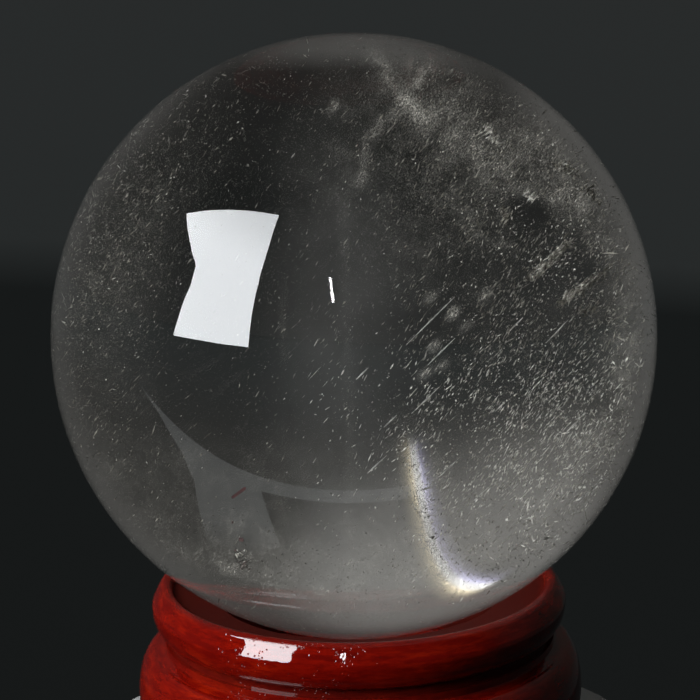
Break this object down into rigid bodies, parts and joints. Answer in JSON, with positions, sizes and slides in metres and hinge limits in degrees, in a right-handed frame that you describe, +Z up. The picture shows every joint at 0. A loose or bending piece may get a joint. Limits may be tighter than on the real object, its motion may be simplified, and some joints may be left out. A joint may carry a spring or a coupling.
{
  "type": "crystal ball",
  "caption": "Polished rock-crystal sphere with natural inclusions, resting loose in the dished ring of a turned, red-lacquered wooden stand.",
  "frame": {"origin": "centre of the stand's underside, on the surface that the object stands on", "axes": "+Z up along the stand's turning axis and through the ball's centre, -Y towards the viewer in front, +X to the viewer's right"},
  "size_m": [0.06, 0.06, 0.074],
  "materials": {
    "quartz": "polished, clear, with veils and glittering flakes inside",
    "needle_mineral": "pale, silky",
    "oxide_mineral": "dull, dark red-brown",
    "ring_lacquer": "thick glossy red lacquer over mottled wood",
    "base_lacquer": "thick glossy red lacquer over mottled wood"
  },
  "bodies": {
    "stand": {"seat_ring": "ring_lacquer", "stand_base": "base_lacquer"},
    "ball": {"crystal_ball": "quartz", "needle_inclusions": "needle_mineral", "oxide_plates": "oxide_mineral"}
  },
  "joints": [
    {"name": "ball_lift", "type": "slide", "parent": "stand", "child": "ball", "axis": [0, 0, 1], "range_m": [0, 0.04]}
  ]
}
